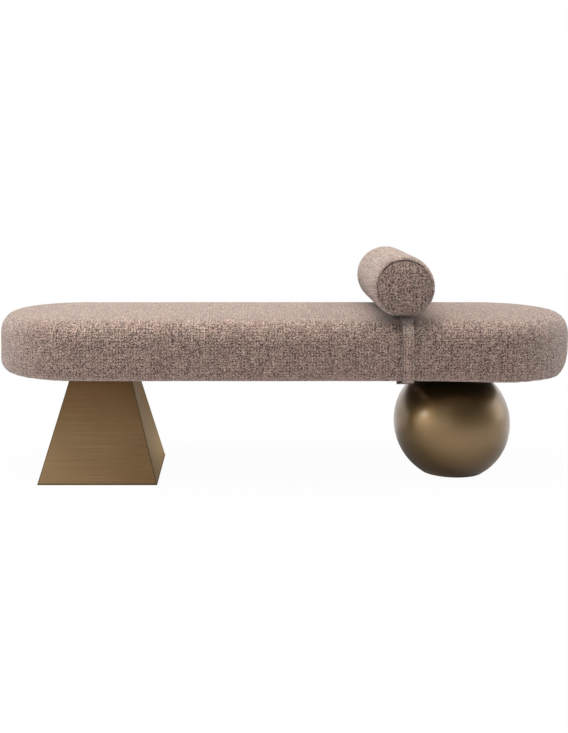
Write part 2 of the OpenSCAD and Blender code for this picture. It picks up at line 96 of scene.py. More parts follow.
# The strap, its tab and its tapes
BAND_LOW, BAND_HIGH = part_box("strap")
STRAP_X = (BAND_LOW.x + BAND_HIGH.x) / 2
STRAP_W = BAND_HIGH.x - BAND_LOW.x
STRAP_LOW = BAND_LOW.z
STRAP_T = 2.6 * MM
STRAP_GAP = 0.3 * MM
STRAP_DROP = 2.1 * MM
STRAP_END_Y = -113 * MM
STRAP_START_Y = -109 * MM
TAB_SEWN = 50 * MM
TAB_STEP = 10 * MM
TAB_FRONT_Y = -193 * MM
TAB_SKEW = math.radians(-7.5)
TAPE_T = 1.2 * MM
TAPE_W = STRAP_W - 2 * MM
TAPE_Y = (-189 * MM, -123 * MM)

# A band's section from its edge to its middle: share of the half width, and share of the thickness
STITCHED_EDGE = (
    (1.0, 0.35), (0.985, 0.8), (0.94, 1.04), (0.87, 1.16), (0.80, 1.08),
    (0.74, 0.66), (0.68, 0.86), (0.56, 0.96), (0.3, 1.0), (0.0, 1.0),
)
TAPE_EDGE = ((1.0, 0.3), (0.985, 0.75), (0.95, 0.95), (0.6, 1.0), (0.0, 1.0))
INNER_HALF = 0.93

# The feet
PYRAMID_LOW, PYRAMID_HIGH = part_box("pyramid_shell")
BALL_LOW, BALL_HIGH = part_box("ball_shell")
FOOT_BOTTOM = PYRAMID_LOW.z
FOOT_TOP = PYRAMID_HIGH.z
SHELL_T = 2.5 * MM
PYRAMID_X = (PYRAMID_LOW.x + PYRAMID_HIGH.x) / 2
PYRAMID_BASE = PYRAMID_HIGH.y * 2
PYRAMID_TOP = 152 * MM
PYRAMID_LEAN = (PYRAMID_BASE - PYRAMID_TOP) / 2 / (FOOT_TOP - FOOT_BOTTOM)
BALL_X = (BALL_LOW.x + BALL_HIGH.x) / 2
BALL_R = BALL_HIGH.y
BALL_FOOT_R = 81 * MM
BALL_Z = FOOT_BOTTOM + math.sqrt(BALL_R ** 2 - BALL_FOOT_R ** 2)
BALL_LIP = 0.8 * MM
BALL_SEGMENTS = 128

# Soft lamps above and at both ends: name, place, the spot it points at, size in metres, power in watts
LAMP_COLOUR = (1.0, 0.995, 0.955)
LAMPS = (
    ("top_light", (0.0, -0.35, 2.6), (0, 0, 0.4), (2.6, 1.4), 83),
    ("top_left_light", (-1.9, 0.0, 2.2), (0, 0, 0.4), (1.6, 1.6), 29),
    ("top_right_light", (2.3, -0.1, 1.9), (0.3, 0, 0.4), (1.4, 1.4), 29),
    ("top_front_light", (0.0, -1.6, 2.4), (0, 0, 0.4), (2.6, 1.2), 4),
    ("left_softbox", (-1.95, -0.84, 1.09), (0.3, 0, 0.2), (0.55, 0.55), 11),
    ("right_softbox", (3.1, 0.5, 0.75), (0.4, 0, 0.25), (1.5, 1.3), 6),
)
GLINT = ("left_glint", (-1.95, -0.84, 1.09), (0.3, 0, 0.2), (0.75, 0.75), 19)

# The studio that the metal mirrors, by direction: where a change starts and ends, and the light at each
WHITE = 1.0
STUDIO_LEFT = (-0.9, -0.35, 1.35, 0.9)
STUDIO_FRONT_X = (-0.24, -0.04, 1.2, 0.42)
STUDIO_FRONT_Z = (0.0, 0.45, 1.3, 0.35)
STUDIO_TURN = (-0.35, 0.1)
STUDIO_BEHIND = 1.15
STUDIO_FILL = 0.015

# The floor, and how white it shows to the camera and in the metal: from, to, and the share of white at each;
# in the metal it glows less near the ball, as painted shade round its foot
FLOOR_HALF = 9.0
FLOOR_PAINT = (0.79, 0.765, 0.78, 1)
FLOOR_SEEN = (0.9, 2.0, 0.972, 1.0)
MIRRORED_NEAR_BALL = (0.11, 0.32, 0.07, 0.37)
MIRRORED_IN_FRONT = (-0.5, -0.15, 0.25, 0.0)
MIRRORED_FAR_OFF = (0.7, 1.5, 0.0, 0.4)

# The weave: thread width, how many threads the yarns waver by, and how often their tone changes, per thread
WEAVE = 1.2 * MM
WARP_WAVER = 1.4
WEFT_WAVER = 1.2
WARP_CHANGES = 0.06
WEFT_CHANGES = 0.11
STREAK_CHANGES = 0.02
GRID_PER_THREAD = 0.162
GRID_LINE = 0.7

# What each thing adds to the cloth's tone
WARP_TONE = 0.16
MORE_ON_WEFT = 0.24
FLECK_TONE = 1.06
SLUB_TONE = 0.22
GRID_TONE = -0.09
BASE_TONE = -0.71
FIBRE_TONE = 0.16
PATCH_TONE = 0.06

# Colours of the yarns by tone
YARNS = (
    (0.10, (0.034, 0.018, 0.018)),
    (0.32, (0.112, 0.065, 0.062)),
    (0.50, (0.305, 0.197, 0.173)),
    (0.68, (0.585, 0.410, 0.350)),
    (0.90, (0.845, 0.635, 0.535)),
)
CLOTH_TINTS = ((1.02, 0.985, 0.985), (0.985, 1.008, 0.99))

# The strap's hem, by distance from its middle line: painted shade in the sewn groove, painted highlight on
# the ridge beside it, painted shade at the brink
GROOVE = (7.6 * MM, 8.4 * MM)
RIDGE = (9.6 * MM, 10.4 * MM)
BRINK = (13.5 * MM, 13.9 * MM)

# Painted light on the strap's cloth at its upper front end, in the bolster's shade, and on its tab, in the
# seat's shade: heights, gains, and the palest colour
PAINTED_LIGHT_HEIGHTS = (SEAT_HIGH.z - 55 * MM, SEAT_HIGH.z - 17 * MM)
UPPER_PAINTED_LIGHT = 2.2
TAB_PAINTED_LIGHT = 1.8
PAINTED_LIGHT_CAP = (0.93, 0.84, 0.76)

# The pyramid's sheets: colours of the grain, then factors on them for painted shade at the top under the
# seat, and for painted light from left to right
BRUSHED = ((0.0, (0.245, 0.155, 0.078)), (1.0, (0.375, 0.242, 0.126)))
EDGE_LINE_AND_FOOT_SHADE = (0.15, 0.112, 0.058)
TOP_PAINTED_SHADE = (0.78, 0.66, 0.52)
TOP_PAINTED_SHADE_H = 0.16
LEFT_TO_RIGHT_PAINTED_LIGHT = ((1.17, 1.20, 1.24), (0.95, 0.90, 0.84))

# The pyramid's right face: painted light and a greener tint towards the floor, and painted shade near its top
# under the seat: share of its height, factor on its colour
RIGHT_FACE_PAINTED_LIGHT = (
    (0.12, (1.62, 2.00, 2.30)),
    (0.36, (1.00, 1.24, 1.38)),
    (0.60, (0.77, 0.88, 0.80)),
    (0.90, (0.63, 0.69, 0.48)),
)

# The ball's bronze
SATIN = ((0.0, (0.168, 0.101, 0.036)), (1.0, (0.210, 0.126, 0.046)))

# Materials of one colour: light and dark tone, metal, mottling per metre, range of roughness, relief, stretch
PLAIN_LOOKS = {
    "zinc_steel": ((0.55, 0.56, 0.58), (0.40, 0.41, 0.43), 1.0, 300, (0.25, 0.45), 0.03 * MM),
    "steel_plate": ((0.30, 0.31, 0.33), (0.20, 0.21, 0.22), 1.0, 90, (0.35, 0.6), 0.05 * MM),
    "black_plastic": ((0.022, 0.022, 0.023), (0.012, 0.012, 0.013), 0.0, 700, (0.4, 0.6), 0.05 * MM),
    "beech": ((0.60, 0.40, 0.22), (0.44, 0.27, 0.13), 0.0, 1.0, (0.5, 0.65), 0.2 * MM, (3, 60, 60)),
    "dust_cloth": ((0.016, 0.016, 0.017), (0.007, 0.007, 0.008), 0.0, 900, (0.8, 0.95), 0.3 * MM),
    "hook_and_loop": ((0.15, 0.11, 0.098), (0.07, 0.048, 0.042), 0.0, 1400, (0.85, 1.0), 0.6 * MM),
}
PLYWOOD = ((0.0, (0.42, 0.26, 0.12)), (1.0, (0.66, 0.47, 0.26)))
PLY_T = 1.5 * MM


# Shader arithmetic

def operation(kind):
    """A method that leads a field through a Math node of this kind."""
    return lambda field, *others: field.shader.math(kind, field, *others)


class Field:
    """A number, colour or shader that a node gives, so that materials read like arithmetic."""

    def __init__(self, shader, socket):
        self.shader = shader
        self.socket = socket

    __add__ = operation("ADD")
    __sub__ = operation("SUBTRACT")
    __mul__ = operation("MULTIPLY")
    __truediv__ = operation("DIVIDE")
    __pow__ = operation("POWER")
    floor = operation("FLOOR")
    fract = operation("FRACT")
    sine = operation("SINE")
    size = operation("ABSOLUTE")
    least = operation("MINIMUM")
    above = operation("GREATER_THAN")


class Nodes:
    """A node tree, and the arithmetic that feeds it."""

    def __init__(self, tree):
        self.tree = tree

    def node(self, kind, **settings):
        made = self.tree.nodes.new("ShaderNode" + kind)
        for key, value in settings.items():
            setattr(made, key, value)
        return made

    def feed(self, socket, value):
        """Links a field to the socket, or sets a plain value on it."""
        if isinstance(value, Field):
            self.tree.links.new(value.socket, socket)
        else:
            socket.default_value = value

    def result(self, kind, *values, output=0, **settings):
        """Adds a node, feeds its first sockets, and returns one of its results."""
        made = self.node(kind, **settings)
        for socket, value in zip(made.inputs, values):
            self.feed(socket, value)
        return Field(self, made.outputs[output])

    def ray(self, kind):
        """1 for a ray of this kind, and 0 for others."""
        return self.result("LightPath", output="Is " + kind + " Ray")

    def split(self, vector):
        made = self.node("SeparateXYZ")
        self.feed(made.inputs[0], vector)
        return [Field(self, part) for part in made.outputs]

    def glow(self, kind, strength):
        """A white Background or Emission of the given strength."""
        return self.result(kind, (1, 1, 1, 1), strength)

    def blend(self, factor, first, second):
        """Mixes two shaders."""
        return self.result("MixShader", factor, first, second)

    def output(self, kind, shader):
        self.feed(self.node("Output" + kind).inputs["Surface"], shader)

    def math(self, kind, *values):
        return self.result("Math", *values, operation=kind)

    def uv(self):
        """Place on the unrolled cloth or sheet, in metres."""
        return self.split(self.result("UVMap"))[:2]

    def place(self):
        """Place in the object's frame, in metres."""
        return self.split(self.result("TexCoord", output="Object"))

    def vector(self, x, y, z=0.0):
        return self.result("CombineXYZ", x, y, z)

    def noise(self, vector, scale, detail, roughness=0.5):
        """Smooth noise from 0 to 1."""
        unused_w = 0.0
        return self.result("TexNoise", vector, unused_w, scale, detail, roughness)

    def random(self, a, b, seed):
        """A random number from 0 to 1 for every a and b."""
        return self.result("TexWhiteNoise", self.vector(a, b, seed), output="Value")

    def rescale(self, value, low, high, to_low=0.0, to_high=1.0):
        """Brings low to to_low and high to to_high, and stays at these beyond."""
        return self.result("MapRange", value, low, high, to_low, to_high, clamp=True)

    def ramp(self, value, *stops):
        made = self.node("ValToRGB")
        self.feed(made.inputs[0], value)
        elements = made.color_ramp.elements
        while len(elements) < len(stops):
            elements.new(0.5)
        for element, (place, colour) in zip(elements, stops):
            element.position = place
            element.color = (*colour, 1)
        return Field(self, made.outputs[0])

    def mix(self, factor, first, second, blend="MIX"):
        made = self.node("Mix", data_type="RGBA", blend_type=blend)
        self.feed(made.inputs[0], factor)
        for socket, value in ((made.inputs[6], first), (made.inputs[7], second)):
            self.feed(socket, value if isinstance(value, Field) else (*value, 1))
        return Field(self, made.outputs[2])

    def tint(self, colour, factor):
        """The colour times a number or another colour."""
        return self.mix(1.0, colour, factor, "MULTIPLY")


class Shader(Nodes):
    """One material with a Principled shader, and the nodes that feed it."""

    def __init__(self, name, **values):
        self.material = bpy.data.materials.new(name)
        self.material.use_nodes = True
        super().__init__(self.material.node_tree)
        self.principled = self.tree.nodes["Principled BSDF"]
        for key, value in values.items():
            self.set(key.replace("_", " ").title().replace("Ior", "IOR"), value)

    def set(self, name, value):
        self.feed(self.principled.inputs[name], value)

    def bump(self, height, distance, strength):
        made = self.node("Bump")
        made.inputs["Strength"].default_value = strength
        made.inputs["Distance"].default_value = distance
        self.feed(made.inputs["Height"], height)
        self.set("Normal", Field(self, made.outputs[0]))


# Camera, lights and floor

def linked(name, data):
    """A new object in the scene."""
    made = bpy.data.objects.new(name, data)
    bpy.context.collection.objects.link(made)
    return made


def add_camera():
    """A level camera with a shifted lens, fitted to the photograph's outlines."""
    data = bpy.data.cameras.new("camera")
    data.sensor_fit = "AUTO"
    data.sensor_width = 36
    data.lens = 54.66
    data.shift_x = 0.0592
    data.shift_y = -0.261
    data.clip_end = 60
    camera = linked("camera", data)
    camera.location = (-0.115, -2.975, 0.788)
    camera.rotation_euler = (math.radians(90), 0, 0)
    bpy.context.scene.camera = camera


def add_area(name, place, target, size, power):
    data = bpy.data.lights.new(name, "AREA")
    data.shape = "RECTANGLE"
    data.size, data.size_y = size
    data.energy = power
    data.color = LAMP_COLOUR
    lamp = linked(name, data)
    lamp.location = place
    lamp.rotation_euler = (Vector(target) - Vector(place)).to_track_quat("-Z", "Y").to_euler()
    return lamp


def add_lights():
    """The lamps, and a glint that shows only in the metal."""
    for row in LAMPS:
        add_area(*row)
    add_area(*GLINT).visible_diffuse = False


def add_world():
    """White behind the object, and a studio for the metal to mirror: bright behind and left, dim in front."""
    world = bpy.data.worlds.new("studio")
    bpy.context.scene.world = world
    world.use_nodes = True
    s = Nodes(world.node_tree)
    s.tree.nodes.clear()
    x, y, z = s.split(s.result("TexCoord", output="Generated"))
    left = s.rescale(x, *STUDIO_LEFT)
    front = left * s.rescale(x, *STUDIO_FRONT_X) * s.rescale(z, *STUDIO_FRONT_Z)
    mirrored = s.glow("Background", s.rescale(y, *STUDIO_TURN, front, STUDIO_BEHIND))
    dim = s.glow("Background", STUDIO_FILL)
    white = s.glow("Background", WHITE)
    seen = s.math("MAXIMUM", s.ray("Camera"), s.ray("Transmission"))
    s.output("World", s.blend(seen, s.blend(s.ray("Glossy"), dim, mirrored), white))


def add_floor():
    """A white floor that still takes the object's shadow, and ends in plain white far from it."""
    material = bpy.data.materials.new("floor")
    material.use_nodes = True
    s = Nodes(material.node_tree)
    s.tree.nodes.clear()
    x, y, _ = s.place()
    from_middle = (x * x + y * y) ** 0.5
    from_ball = ((x - BALL_X) ** 2 + y * y) ** 0.5
    # in the metal the floor glows white, least close to the ball: painted shade round the ball's foot
    mirrored = s.rescale(from_ball, *MIRRORED_NEAR_BALL) + s.rescale(y, *MIRRORED_IN_FRONT)
    mirrored = mirrored + s.rescale(from_ball, *MIRRORED_FAR_OFF)
    share = s.ray("Camera") * s.rescale(from_middle, *FLOOR_SEEN) + s.ray("Glossy") * mirrored
    paint = s.result("BsdfDiffuse", FLOOR_PAINT)
    s.output("Material", s.blend(share, paint, s.glow("Emission", WHITE)))
    square = [(x * FLOOR_HALF, y * FLOOR_HALF, 0) for x, y in CORNERS]
    floor = linked("floor", make_mesh("floor", square, [(0, 1, 2, 3)], material))


# Materials

def wavering(s, u, v):
    """How many threads across and along each place lies, with the waver of real yarns."""
    columns = u / WEAVE + s.noise(s.vector(u, v), 110, 1) * WARP_WAVER
    rows = v / WEAVE + s.noise(s.vector(v, columns, 7.0), 0.23, 1) * WEFT_WAVER
    return columns, rows


def over_and_under(columns, rows):
    """Height of the cloth's face, and 1 where the weft is on top or 0 where the warp is."""
    across = (columns.fract() * math.pi).sine()
    along = (rows.fract() * math.pi).sine()
    weft_on_top = ((columns.floor() + rows.floor()) * 0.5).fract() * 2.0
    warp_height = (across ** 0.5) * (along * 0.5 + 0.5)
    weft_height = (along ** 0.5) * (across * 0.5 + 0.5)
    return warp_height + (weft_height - warp_height) * weft_on_top, weft_on_top


def yarn_tone(s, columns, rows, weft_on_top, slub, streaks):
    """Tone of the yarns: each one's dye changes on its way, with flecks, slubs, streaks and a faint grid."""
    column = columns.floor()
    row = rows.floor()
    warp_stretch = (rows * WARP_CHANGES + s.random(column, 1.5, 1.5) * 9.0).floor()
    weft_stretch = (columns * WEFT_CHANGES + s.random(2.5, row, 2.5) * 9.0).floor()
    warp_dye = s.random(column, warp_stretch, 3.5)
    weft_dye = s.random(weft_stretch, row, 5.5)
    dye = warp_dye + (weft_dye - warp_dye) * weft_on_top
    fleck = s.random(column, row, weft_on_top)
    streak_stretch = (rows * STREAK_CHANGES + s.random(column, 8.5, 1.5) * 0.4).floor()
    streak = s.random((columns * 0.5).floor(), streak_stretch, 8.5)
    lines = [(count * GRID_PER_THREAD).fract().above(GRID_LINE) for count in (columns, rows)]
    tone = dye * (weft_on_top * MORE_ON_WEFT + WARP_TONE) + fleck * FLECK_TONE + slub * SLUB_TONE
    return tone + (lines[0] + lines[1]) * GRID_TONE + BASE_TONE + (streak - 0.5) * streaks


def hem_painted_light(s, tone, from_middle):
    """The strap's hem: painted shade in a sewn groove, a painted highlight on the ridge beside it and painted
    shade at the brink.
    """
    ridge = s.rescale(from_middle, *RIDGE)
    groove = s.rescale(from_middle, *GROOVE) - ridge
    brink = s.rescale(from_middle, *BRINK)
    # painted highlight on the ridge; painted shade in the groove and at the brink
    return tone + 0.09 + ridge * 0.12 - groove * 0.07 - brink * 0.75


def painted_light_ends(s, colour, y, z):
    """Painted light on the strap's cloth at its upper front end and on the tab, which hangs below the strap;
    both lie in shade.
    """
    upper = s.rescale(z, *PAINTED_LIGHT_HEIGHTS) ** 2 * (y * -1).above(0.0)
    on_tab = (z * -1).above(TAPE_T - STRAP_LOW)
    colour = s.tint(colour, upper * UPPER_PAINTED_LIGHT + on_tab * TAB_PAINTED_LIGHT + 1.0)
    return s.mix(1.0, colour, PAINTED_LIGHT_CAP, "DARKEN")


def woven_cloth(name, contrast, streaks=0.1, painted_hem_and_ends=False, painted_contact_shade=False):
    """A tweedy plain weave with painted shade between its yarns: for the hemmed strap, painted highlight and
    shade at its hem and painted light on its shaded ends; for what rests on the seat, painted shade low down.
    """
    s = Shader(name, roughness=0.85, specular_ior_level=0.2, sheen_weight=0.45, sheen_roughness=0.5,
               sheen_tint=(0.98, 0.98, 0.96, 1))
    x, y, z = s.place()
    u, v = s.uv()
    fibres = s.noise(s.vector(u, v), 3200, 1)
    columns, rows = wavering(s, u, v)
    height, weft_on_top = over_and_under(columns, rows)
    slub = s.rescale(s.noise(s.vector(columns * 0.05, rows.floor() * 3.1, 4.0), 1.0, 1), 0.64, 0.72)
    patch = s.noise(s.vector(x, y, z), 26, 1)
    tone = yarn_tone(s, columns, rows, weft_on_top, slub, streaks)
    tone = tone * contrast + 0.5 + (fibres - 0.5) * FIBRE_TONE + (patch - 0.5) * PATCH_TONE
    if painted_hem_and_ends:
        tone = hem_painted_light(s, tone, v.size())
    colour = s.ramp(tone, *YARNS)
    drift = s.rescale(s.noise(s.vector(y, z, x), 17, 1), 0.35, 0.65)
    colour = s.tint(colour, s.mix(drift, *CLOTH_TINTS))
    # painted shade between the yarns and a little painted light on their crowns, by the height of the weave
    colour = s.tint(colour, s.rescale(height, 0.1, 0.75, 0.5, 1.06))
    # painted light on the strap's shaded upper front end and on its tab
    if painted_hem_and_ends:
        colour = painted_light_ends(s, colour, y, z)
    # painted shade in the crease where the bolster rests on the seat, darkest at its underside
    if painted_contact_shade:
        colour = s.tint(colour, s.rescale(z, BOLSTER_LOW, BOLSTER_LOW + 9 * MM, 0.3, 1.0))
    s.set("Base Color", colour)
    s.bump(height + fibres * 0.3 + slub * 0.3, 0.6 * MM, 0.8)
    return s.material


def brushed_bronze():
    """Dark bronze sheet brushed along the horizontal: dark edge lines with painted shade along the foot,
    redder painted shade at the top under the seat, painted light from left to right across the front, and
    painted light on the right face towards the floor.
    """
    s = Shader("brushed_bronze", metallic=1.0, anisotropic=0.75, anisotropic_rotation=0.25,
               specular_tint=(0.46, 0.39, 0.33, 1))
    x, y, z = s.place()
    u, v = s.uv()
    cloud = s.noise(s.vector(x, y, z), 7.0, 3)
    lines = s.noise(s.vector(u * 3.0, v * 900), 1.0, 3, 0.6)
    bands = s.noise(s.vector(u * 5.0, v * 320), 1.0, 2)
    grain = lines * 0.5 + bands * 0.5
    s.set("Roughness", s.rescale(grain, 0.25, 0.75, 0.32, 0.46))
    half = (z - FOOT_BOTTOM) * -PYRAMID_LEAN + PYRAMID_BASE / 2
    from_axis = (x - PYRAMID_X).size()
    on_side = (half - y.size()).above(4 * MM)
    on_front_or_back = (half - from_axis).above(2 * MM)
    on_right = on_side * (x - PYRAMID_X).above(0.0)
    colour = s.ramp(s.rescale(grain * 0.7 + cloud * 0.3, 0.34, 0.66), *BRUSHED)
    # painted shade, redder, at the top under the seat
    colour = s.tint(colour, s.mix(s.rescale(z, FOOT_TOP - TOP_PAINTED_SHADE_H, FOOT_TOP), (1.0, 1.0, 1.0), TOP_PAINTED_SHADE))
    # painted light on the front's left, falling to painted shade on its right and on the side faces
    to_right = s.rescale(x - PYRAMID_X, -PYRAMID_BASE / 2, PYRAMID_BASE / 2)
    colour = s.tint(colour, s.mix(to_right * on_front_or_back + on_side * 0.95, *LEFT_TO_RIGHT_PAINTED_LIGHT))
    # painted light on the right face towards the floor, and painted shade near its top under the seat
    right_face_painted_light = s.ramp(s.rescale(z, FOOT_BOTTOM, FOOT_TOP), *RIGHT_FACE_PAINTED_LIGHT)
    colour = s.mix(on_right, colour, s.tint(colour, right_face_painted_light))
    # dark joint lines along the edges, and painted shade along the foot where it meets the floor
    from_edge = half - from_axis.least(y.size())
    inside = s.rescale(from_edge.least((z - FOOT_BOTTOM) * 0.6), 1.2 * MM, 3.6 * MM)
    s.set("Base Color", s.mix(inside, EDGE_LINE_AND_FOOT_SHADE, colour))
    s.bump(grain, 0.06 * MM, 0.35)
    return s.material


def satin_bronze():
    """Dark bronze with a satin grain, under clear lacquer."""
    s = Shader("satin_bronze", metallic=1.0, coat_weight=0.95, coat_roughness=0.24)
    x, y, z = s.place()
    cloud = s.noise(s.vector(x, y, z), 7.0, 3)
    grain = s.noise(s.vector(x, y, z), 420, 3, 0.6)
    s.set("Roughness", s.rescale(grain, 0.25, 0.75, 0.38, 0.46))
    s.set("Base Color", s.ramp(s.rescale(grain * 0.45 + cloud * 0.55, 0.3, 0.7), *SATIN))
    s.bump(grain, 0.05 * MM, 0.3)
    return s.material


def plain(name, light, dark, metallic, scale, roughness, relief, stretch=(1, 1, 1)):
    """A material of one colour with fine mottling in its tone, gloss and relief."""
    s = Shader(name, metallic=metallic)
    x, y, z = s.place()
    grain = s.noise(s.vector(x * stretch[0], y * stretch[1], z * stretch[2]), scale, 4, 0.6)
    s.set("Base Color", s.ramp(s.rescale(grain, 0.3, 0.7), (0.0, dark), (1.0, light)))
    s.set("Roughness", s.rescale(grain, 0.3, 0.7, *roughness))
    s.bump(grain, relief, 0.5)
    return s.material


def plywood():
    """Plywood: faint figure on the face, and the plies' lines on the edge."""
    s = Shader("plywood", roughness=0.6)
    x, y, z = s.place()
    figure = s.noise(s.vector(x * 1.5, y * 28, z * 28), 1.0, 4, 0.6)
    plies = ((z / PLY_T) * math.pi).sine()
    s.set("Base Color", s.ramp(s.rescale(figure, 0.3, 0.7) * 0.7 + plies * 0.3, *PLYWOOD))
    s.bump(figure, 0.2 * MM, 0.5)
    return s.material


def dress_nodes():
    """Gives the solids that stay as they are the material of their slot; returns all materials by name."""
    looks = {
        "woven_cloth": woven_cloth("woven_cloth", contrast=1.15),
        "sleeve_cloth": woven_cloth("sleeve_cloth", contrast=1.8, streaks=0.3, painted_contact_shade=True),
        "panel_cloth": woven_cloth("panel_cloth", contrast=1.3, painted_contact_shade=True),
        "strap_cloth": woven_cloth("strap_cloth", contrast=0.9, painted_hem_and_ends=True),
        "brushed_bronze": brushed_bronze(),
        "satin_bronze": satin_bronze(),
        "plywood": plywood(),
    }
    for name, values in PLAIN_LOOKS.items():
        looks[name] = plain(name, *values)
    for row in frame["record"]["subparts"]:
        if row["material_slot"] in looks:
            mesh = frame["nodes"][row["node"]].data
            mesh.materials.clear()
            mesh.materials.append(looks[row["material_slot"]])
    return looks


# Mesh helpers

def make_mesh(name, verts, faces, material, corner_uvs=None):
    mesh = bpy.data.meshes.new(name)
    mesh.from_pydata([tuple(v) for v in verts], [], [tuple(f) for f in faces])
    mesh.materials.append(material)
    if corner_uvs is not None:
        layer = mesh.uv_layers.new(name="UVMap")
        layer.data.foreach_set("uv", np.asarray(corner_uvs, dtype=np.float32).ravel())
    mesh.shade_smooth()
    return mesh


def make_piece(mesh, body):
    """An object of the mesh's name that rides on a body."""
    piece = linked(mesh.name, mesh)
    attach(piece, body)
    return piece


@contextmanager
def editing(mesh):
    """Opens the mesh in bmesh, and writes it back."""
    bm = bmesh.new()
    bm.from_mesh(mesh)
    yield bm
    bm.to_mesh(mesh)
    bm.free()


def rows_of(items, field):
    values = np.empty(len(items) * 3, dtype=np.float32)
    items.foreach_get(field, values)
    return values.reshape(-1, 3).astype(float)


def coordinates(mesh):
    return rows_of(mesh.vertices, "co")


def normals(mesh):
    return rows_of(mesh.vertex_normals, "vector")


def move(mesh, points):
    mesh.vertices.foreach_set("co", np.asarray(points, dtype=np.float32).ravel())
    mesh.update()


def push_out(mesh, distance):
    """Moves each point along its normal by its own distance; inwards where that is below 0."""
    move(mesh, coordinates(mesh) + normals(mesh) * distance[:, None])


def subdivided(mesh):
    """The mesh with one subdivision applied, in a new mesh of the same name."""
    carrier = linked("carrier", mesh)
    modifier = carrier.modifiers.new("subdivision", "SUBSURF")
    modifier.levels = 1
    graph = bpy.context.evaluated_depsgraph_get()
    graph.update()
    result = bpy.data.meshes.new_from_object(carrier.evaluated_get(graph))
    name = mesh.name
    bpy.data.objects.remove(carrier)
    bpy.data.meshes.remove(mesh)
    result.name = name
    return result


def rise(values, start, length):
    """0 up to the start, then rising evenly to 1 over the length."""
    return np.clip((values - start) / length, 0, 1)


def hump(values, width):
    """1 where the value is 0, falling off softly on both sides."""
    return np.exp(-(values / width) ** 2)


def level(points, z):
    """The flat points at height z, or each at its own height."""
    return np.column_stack((points, np.full(len(points), z)))


def arc(cx, cz, rx, rz, start, end, steps):
    """Points on an ellipse's arc; angles in degrees."""
    angles = np.radians(np.linspace(start, end, steps + 1))
    return np.column_stack((cx + rx * np.cos(angles), cz + rz * np.sin(angles)))


def run_along(points):
    """Distance of each point from the first, along the line through them."""
    return np.concatenate(([0], np.cumsum(np.linalg.norm(np.diff(points, axis=0), axis=1))))


def rumple(points, size, seed):
    """Smooth noise from -1 to 1 at each point, for lumps of about the given size."""
    shift = Vector((seed * 13.7, seed * 5.3, seed * 9.1))
    return np.array([noise.noise(Vector(p) / size + shift) for p in points])


def squircle(a, b):
    """Maps the square from -1 to 1 on the unit disc, evenly."""
    return a * np.sqrt(1 - b * b / 2), b * np.sqrt(1 - a * a / 2)


def border_of(index):
    """The points round a grid's border, in order."""
    return [*index[:, 0], *index[-1, 1:], *index[-2::-1, -1], *index[0, -2:0:-1]]


def grid_faces(index):
    return [
        (index[i, j], index[i + 1, j], index[i + 1, j + 1], index[i, j + 1])
        for i in range(index.shape[0] - 1)
        for j in range(index.shape[1] - 1)
    ]


def wall_faces(rings, around):
    """Faces of a wall that closes on itself both ways, over rings of points in order."""
    index = np.arange(rings * around).reshape(rings, around)
    return grid_faces(np.pad(index, (0, 1), mode="wrap").T)


def ring_faces(border, count, rings):
    """Faces from the border on, over rings of new points that are numbered from count."""
    n = len(border)
    index = np.vstack((border, np.arange(count, count + rings * n).reshape(rings, n)))
    return [
        (last[k], now[k], now[(k + 1) % n], last[(k + 1) % n])
        for last, now in zip(index[:-1], index[1:])
        for k in range(n)
    ]


def ring_corners(around, run):
    """Places on the unrolled cloth of the rings' face corners: round the ring, and along the section."""
    return [
        np.array([(a, c), (a, d), (b, d), (b, c)])
        for c, d in zip(run[:-1], run[1:])
        for a, b in zip(around[:-1], around[1:])
    ]


def settle(mesh, sewn, pressure, frames=20):
    """Simulates how the cloth swells under a light pressure; returns how far each point moves outwards."""
    scene = bpy.context.scene
    carrier = linked("carrier", mesh.copy())
    carrier.vertex_groups.new(name="sewn").add(sewn.tolist(), 1.0, "REPLACE")
    cloth = carrier.modifiers.new("settle", "CLOTH")
    for name, value in (
        ("quality", 4),
        ("tension_stiffness", 80),
        ("compression_stiffness", 80),
        ("shear_stiffness", 27),
        ("tension_damping", 25),
        ("compression_damping", 25),
        ("shear_damping", 25),
        ("use_pressure", True),
        ("uniform_pressure_force", pressure),
        ("vertex_group_mass", "sewn"),
    ):
        setattr(cloth.settings, name, value)
    cloth.settings.effector_weights.gravity = 0
    cloth.collision_settings.use_collision = False
    cloth.point_cache.frame_start = 1
    cloth.point_cache.frame_end = frames
    for step in range(1, frames + 1):
        scene.frame_set(step)
    result = carrier.evaluated_get(bpy.context.evaluated_depsgraph_get()).to_mesh()
    shift = coordinates(result) - coordinates(mesh)
    scene.frame_set(1)
    data = carrier.data
    bpy.data.objects.remove(carrier)
    bpy.data.meshes.remove(data)
    return (shift * normals(mesh)).sum(axis=1)


def extruded(bm, edges, place):
    """Extrudes an open edge loop; place gives each new vertex its spot. Returns the new loop's edges."""
    made = bmesh.ops.extrude_edge_only(bm, edges=edges)["geom"]
    for vertex in (item for item in made if isinstance(item, bmesh.types.BMVert)):
        vertex.co = place(vertex.co)
    return [item for item in made if isinstance(item, bmesh.types.BMEdge)]


# The seat's upholstery

def seat_height(r):
    """Height of the seat's top at distance r from its middle line."""
    return SEAT_HIGH.z - CROWN * (2 * r / SEAT_W) ** 2


